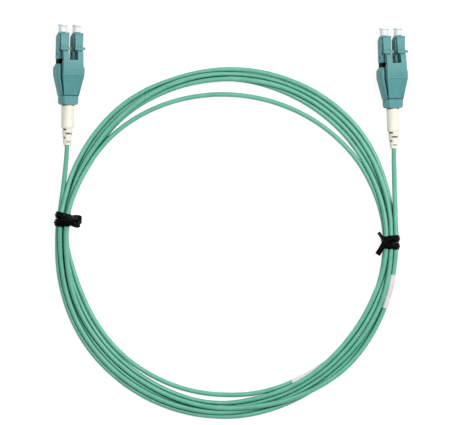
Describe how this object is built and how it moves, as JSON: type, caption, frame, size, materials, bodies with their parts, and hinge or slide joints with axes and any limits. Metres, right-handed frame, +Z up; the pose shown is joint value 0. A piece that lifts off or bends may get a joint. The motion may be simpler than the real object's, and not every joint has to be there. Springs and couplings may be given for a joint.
{
  "type": "fiber optic patch cord",
  "caption": "Thin round optical patch cord in a tied coil, with a duplex plug connector, thumb trigger, bend boot and dust caps on each end.",
  "frame": {"origin": "on the surface that the cord lies on, midway between the two connectors (centre of the box round both connectors)", "axes": "+Z up from the surface, +X from connector a to connector b, +Y the way the plugs point"},
  "size_m": [0.1488, 0.1644, 0.0122],
  "materials": {
    "teal_plastic": "moulded, slightly glossy",
    "cord_jacket": "satin extruded jacket",
    "boot_ivory": "matt moulded elastomer",
    "cap_white": "milky translucent polyethylene",
    "ceramic": "polished",
    "brass": "turned",
    "steel": "plain",
    "frame_black": "moulded",
    "tie_black": "coated twist wire",
    "label_grey": "heat-shrunk film",
    "glass_fibre": "acrylate coating"
  },
  "bodies": {
    "patch_cord": {"plug_frame_a": "frame_black", "housing_base_a": "teal_plastic", "housing_cover_a": "teal_plastic", "rear_collar_a": "teal_plastic", "crimp_sleeve_a": "steel", "boot_a": "boot_ivory", "cable_end_a": "cord_jacket", "fibers_a": "glass_fibre", "cord_tail_a": "cord_jacket", "label_a": "label_grey", "plug_body_a1": "teal_plastic", "ferrule_spring_a1": "steel", "stopper_a1": "brass", "plug_body_a2": "teal_plastic", "ferrule_spring_a2": "steel", "stopper_a2": "brass", "plug_frame_b": "frame_black", "housing_base_b": "teal_plastic", "housing_cover_b": "teal_plastic", "rear_collar_b": "teal_plastic", "crimp_sleeve_b": "steel", "boot_b": "boot_ivory", "cable_end_b": "cord_jacket", "fibers_b": "glass_fibre", "cord_tail_b": "cord_jacket", "label_b": "label_grey", "plug_body_b1": "teal_plastic", "ferrule_spring_b1": "steel", "stopper_b1": "brass", "plug_body_b2": "teal_plastic", "ferrule_spring_b2": "steel", "stopper_b2": "brass", "cord_coil": "cord_jacket", "tie_left": "tie_black", "tie_right": "tie_black"},
    "trigger_a": {"trigger_a": "teal_plastic"},
    "latch_a1": {"latch_a1": "teal_plastic"},
    "ferrule_a1": {"ferrule_a1": "ceramic", "ferrule_flange_a1": "brass"},
    "dust_cap_a1": {"dust_cap_a1": "cap_white"},
    "latch_a2": {"latch_a2": "teal_plastic"},
    "ferrule_a2": {"ferrule_a2": "ceramic", "ferrule_flange_a2": "brass"},
    "dust_cap_a2": {"dust_cap_a2": "cap_white"},
    "trigger_b": {"trigger_b": "teal_plastic"},
    "latch_b1": {"latch_b1": "teal_plastic"},
    "ferrule_b1": {"ferrule_b1": "ceramic", "ferrule_flange_b1": "brass"},
    "dust_cap_b1": {"dust_cap_b1": "cap_white"},
    "latch_b2": {"latch_b2": "teal_plastic"},
    "ferrule_b2": {"ferrule_b2": "ceramic", "ferrule_flange_b2": "brass"},
    "dust_cap_b2": {"dust_cap_b2": "cap_white"}
  },
  "joints": [
    {"name": "trigger_press_a", "type": "hinge", "parent": "patch_cord", "child": "trigger_a", "pos_m": [-0.06683, -0.00286, 0.00709], "axis": [-0.9394, 0.023, 0.342], "range_deg": [0, 3], "stiffness_Nm_per_rad": 0.2},
    {"name": "latch_flex_a1", "type": "hinge", "parent": "patch_cord", "child": "latch_a1", "pos_m": [-0.06914, 0.0214, 0.00826], "axis": [0.9394, -0.023, -0.342], "range_deg": [0, 6.6]},
    {"name": "ferrule_float_a1", "type": "slide", "parent": "patch_cord", "child": "ferrule_a1", "axis": [-0.0244, -0.9997, 0], "range_m": [0, 0.0008], "stiffness_N_per_m": 100, "deforming": ["ferrule_spring_a1"]},
    {"name": "cap_pull_a1", "type": "slide", "parent": "patch_cord", "child": "dust_cap_a1", "axis": [0.0244, 0.9997, 0], "range_m": [0, 0.008]},
    {"name": "latch_flex_a2", "type": "hinge", "parent": "patch_cord", "child": "latch_a2", "pos_m": [-0.06327, 0.02126, 0.00612], "axis": [0.9394, -0.023, -0.342], "range_deg": [0, 6.6]},
    {"name": "ferrule_float_a2", "type": "slide", "parent": "patch_cord", "child": "ferrule_a2", "axis": [-0.0244, -0.9997, 0], "range_m": [0, 0.0008], "stiffness_N_per_m": 100, "deforming": ["ferrule_spring_a2"]},
    {"name": "cap_pull_a2", "type": "slide", "parent": "patch_cord", "child": "dust_cap_a2", "axis": [0.0244, 0.9997, 0], "range_m": [0, 0.008]},
    {"name": "trigger_press_b", "type": "hinge", "parent": "patch_cord", "child": "trigger_b", "pos_m": [0.0681, -0.00422, 0.00709], "axis": [-0.9394, -0.023, 0.342], "range_deg": [0, 3], "stiffness_Nm_per_rad": 0.2},
    {"name": "latch_flex_b1", "type": "hinge", "parent": "patch_cord", "child": "latch_b1", "pos_m": [0.06461, 0.0199, 0.00826], "axis": [0.9394, 0.023, -0.342], "range_deg": [0, 6.6]},
    {"name": "ferrule_float_b1", "type": "slide", "parent": "patch_cord", "child": "ferrule_b1", "axis": [0.0244, -0.9997, 0], "range_m": [0, 0.0008], "stiffness_N_per_m": 100, "deforming": ["ferrule_spring_b1"]},
    {"name": "cap_pull_b1", "type": "slide", "parent": "patch_cord", "child": "dust_cap_b1", "axis": [-0.0244, 0.9997, 0], "range_m": [0, 0.008]},
    {"name": "latch_flex_b2", "type": "hinge", "parent": "patch_cord", "child": "latch_b2", "pos_m": [0.07048, 0.02004, 0.00612], "axis": [0.9394, 0.023, -0.342], "range_deg": [0, 6.6]},
    {"name": "ferrule_float_b2", "type": "slide", "parent": "patch_cord", "child": "ferrule_b2", "axis": [0.0244, -0.9997, 0], "range_m": [0, 0.0008], "stiffness_N_per_m": 100, "deforming": ["ferrule_spring_b2"]},
    {"name": "cap_pull_b2", "type": "slide", "parent": "patch_cord", "child": "dust_cap_b2", "axis": [-0.0244, 0.9997, 0], "range_m": [0, 0.008]}
  ],
  "couplings": [
    {"joint": "latch_flex_a1", "follows": "trigger_press_a", "ratio": 2.2},
    {"joint": "latch_flex_a2", "follows": "trigger_press_a", "ratio": 2.2},
    {"joint": "latch_flex_b1", "follows": "trigger_press_b", "ratio": 2.2},
    {"joint": "latch_flex_b2", "follows": "trigger_press_b", "ratio": 2.2}
  ]
}
